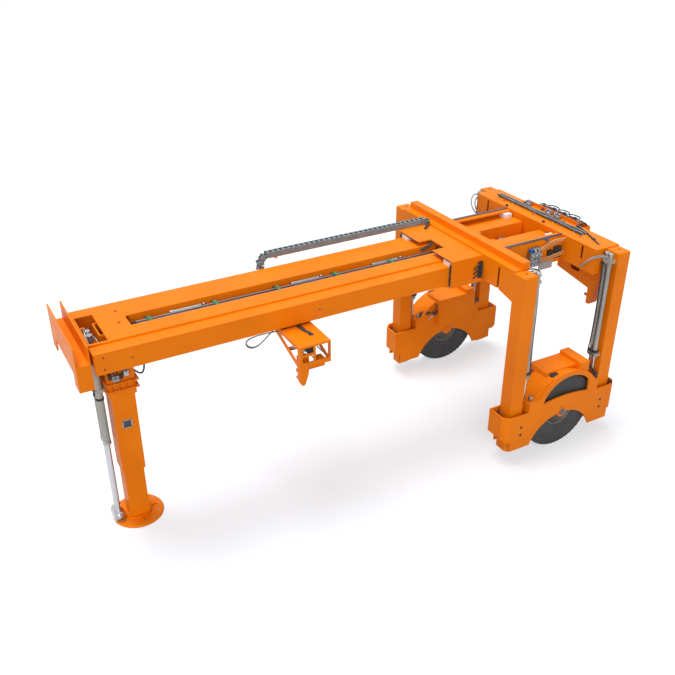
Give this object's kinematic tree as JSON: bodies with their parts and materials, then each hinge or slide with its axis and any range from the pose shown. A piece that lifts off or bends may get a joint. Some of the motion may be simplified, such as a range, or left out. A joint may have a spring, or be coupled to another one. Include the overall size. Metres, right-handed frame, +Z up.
{
  "type": "straddle container mover",
  "caption": "Straddling container mover: a box beam on a telescopic leg slides through a frame of columns that rise and sink on wheel yokes, with arms to hold a container.",
  "frame": {"origin": "on the floor, below the middle of the machine's overall length, on its plane of symmetry", "axes": "+Z up, X along the beam with the wheels at the +X end and the leg at the -X end, near side -Y"},
  "size_m": [9.45, 4.04, 3.745],
  "materials": {
    "orange_paint": "semi-gloss",
    "dark_paint": "satin",
    "grey_paint": "satin",
    "steel_rod": "polished",
    "valve_steel": "satin",
    "pipe_steel": "satin",
    "tyre_rubber": "matt",
    "white_plastic": "matt",
    "chain_plastic": "satin"
  },
  "bodies": {
    "frame": {"column_near_front": "orange_paint", "column_near_rear": "orange_paint", "column_far_front": "orange_paint", "column_far_rear": "orange_paint", "sleeve": "orange_paint", "mouth_pads": "white_plastic", "front_cross_beam": "orange_paint", "rear_cross_beam": "orange_paint", "lift_barrels_near": "grey_paint", "lift_barrels_far": "grey_paint", "rear_arm_near": "orange_paint", "rear_arm_far": "orange_paint", "rear_platform": "orange_paint", "valves": "valve_steel", "cable_chain": "chain_plastic"},
    "beam": {"rail_near": "orange_paint", "rail_far": "orange_paint", "front_deck": "orange_paint", "beam_ties": "orange_paint", "slot_pipes": "pipe_steel", "crosshead": "orange_paint", "leg_guide": "orange_paint", "leg_barrels": "grey_paint", "tail_pads": "white_plastic"},
    "arms": {"arm_carriage": "orange_paint", "mid_arm_near": "orange_paint", "mid_arm_far": "orange_paint"},
    "middle_stage": {"leg_middle": "orange_paint"},
    "foot_stage": {"leg_inner": "orange_paint", "foot_plate": "orange_paint", "leg_rods": "steel_rod"},
    "carriage_near": {"yoke_near": "orange_paint", "housing_near": "orange_paint", "masts_near": "orange_paint", "lift_rods_near": "steel_rod", "axle_near": "steel_rod"},
    "wheel_near": {"tyre_near": "tyre_rubber", "rim_near": "dark_paint"},
    "carriage_far": {"yoke_far": "orange_paint", "housing_far": "orange_paint", "masts_far": "orange_paint", "lift_rods_far": "steel_rod", "axle_far": "steel_rod"},
    "wheel_far": {"tyre_far": "tyre_rubber", "rim_far": "dark_paint"}
  },
  "joints": [
    {"name": "beam_slide", "type": "slide", "parent": "frame", "child": "beam", "axis": [-1, 0, 0], "range_m": [0, 1.65]},
    {"name": "arms_slide", "type": "slide", "parent": "beam", "child": "arms", "axis": [-1, 0, 0], "range_m": [0, 2]},
    {"name": "middle_stage_slide", "type": "slide", "parent": "beam", "child": "middle_stage", "axis": [0, 0, 1], "range_m": [0, 0.425]},
    {"name": "foot_stage_slide", "type": "slide", "parent": "middle_stage", "child": "foot_stage", "axis": [0, 0, 1], "range_m": [0, 0.9]},
    {"name": "lift_near_slide", "type": "slide", "parent": "frame", "child": "carriage_near", "axis": [0, 0, -1], "range_m": [0, 1.5]},
    {"name": "wheel_near_spin", "type": "hinge", "parent": "carriage_near", "child": "wheel_near", "pos_m": [3.275, -1.773, 0.747], "axis": [0, 1, 0], "continuous": true},
    {"name": "lift_far_slide", "type": "slide", "parent": "frame", "child": "carriage_far", "axis": [0, 0, -1], "range_m": [0, 1.5]},
    {"name": "wheel_far_spin", "type": "hinge", "parent": "carriage_far", "child": "wheel_far", "pos_m": [3.275, 1.773, 0.747], "axis": [0, 1, 0], "continuous": true}
  ],
  "couplings": [
    {"joint": "middle_stage_slide", "follows": "foot_stage_slide", "ratio": 0.47222}
  ]
}
